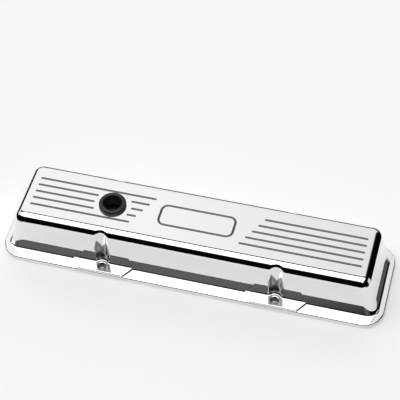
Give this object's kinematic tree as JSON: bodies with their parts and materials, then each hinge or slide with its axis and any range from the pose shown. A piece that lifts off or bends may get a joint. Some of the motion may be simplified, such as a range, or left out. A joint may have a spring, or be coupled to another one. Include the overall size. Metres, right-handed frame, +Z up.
{
  "type": "engine valve cover",
  "caption": "Short cast valve cover with a flat rail, leaning ends, bolt recesses, a grooved flat top, and a breather hole with a rubber grommet and an oil baffle under it.",
  "frame": {"origin": "middle of the gasket face under the rail", "axes": "+Z up, away from the cylinder head; +X along the cover, away from the breather hole; +Y across it"},
  "size_m": [0.478, 0.124, 0.0688],
  "materials": {
    "polished_aluminium": "mirror polished outside, as cast inside",
    "black_rubber": "moulded, slight sheen",
    "zinc_plated_steel": "zinc plated",
    "screw_steel": "zinc plated"
  },
  "bodies": {
    "root": {"cover": "polished_aluminium", "breather_grommet": "black_rubber", "oil_baffle": "zinc_plated_steel", "baffle_screws": "screw_steel"}
  },
  "joints": []
}
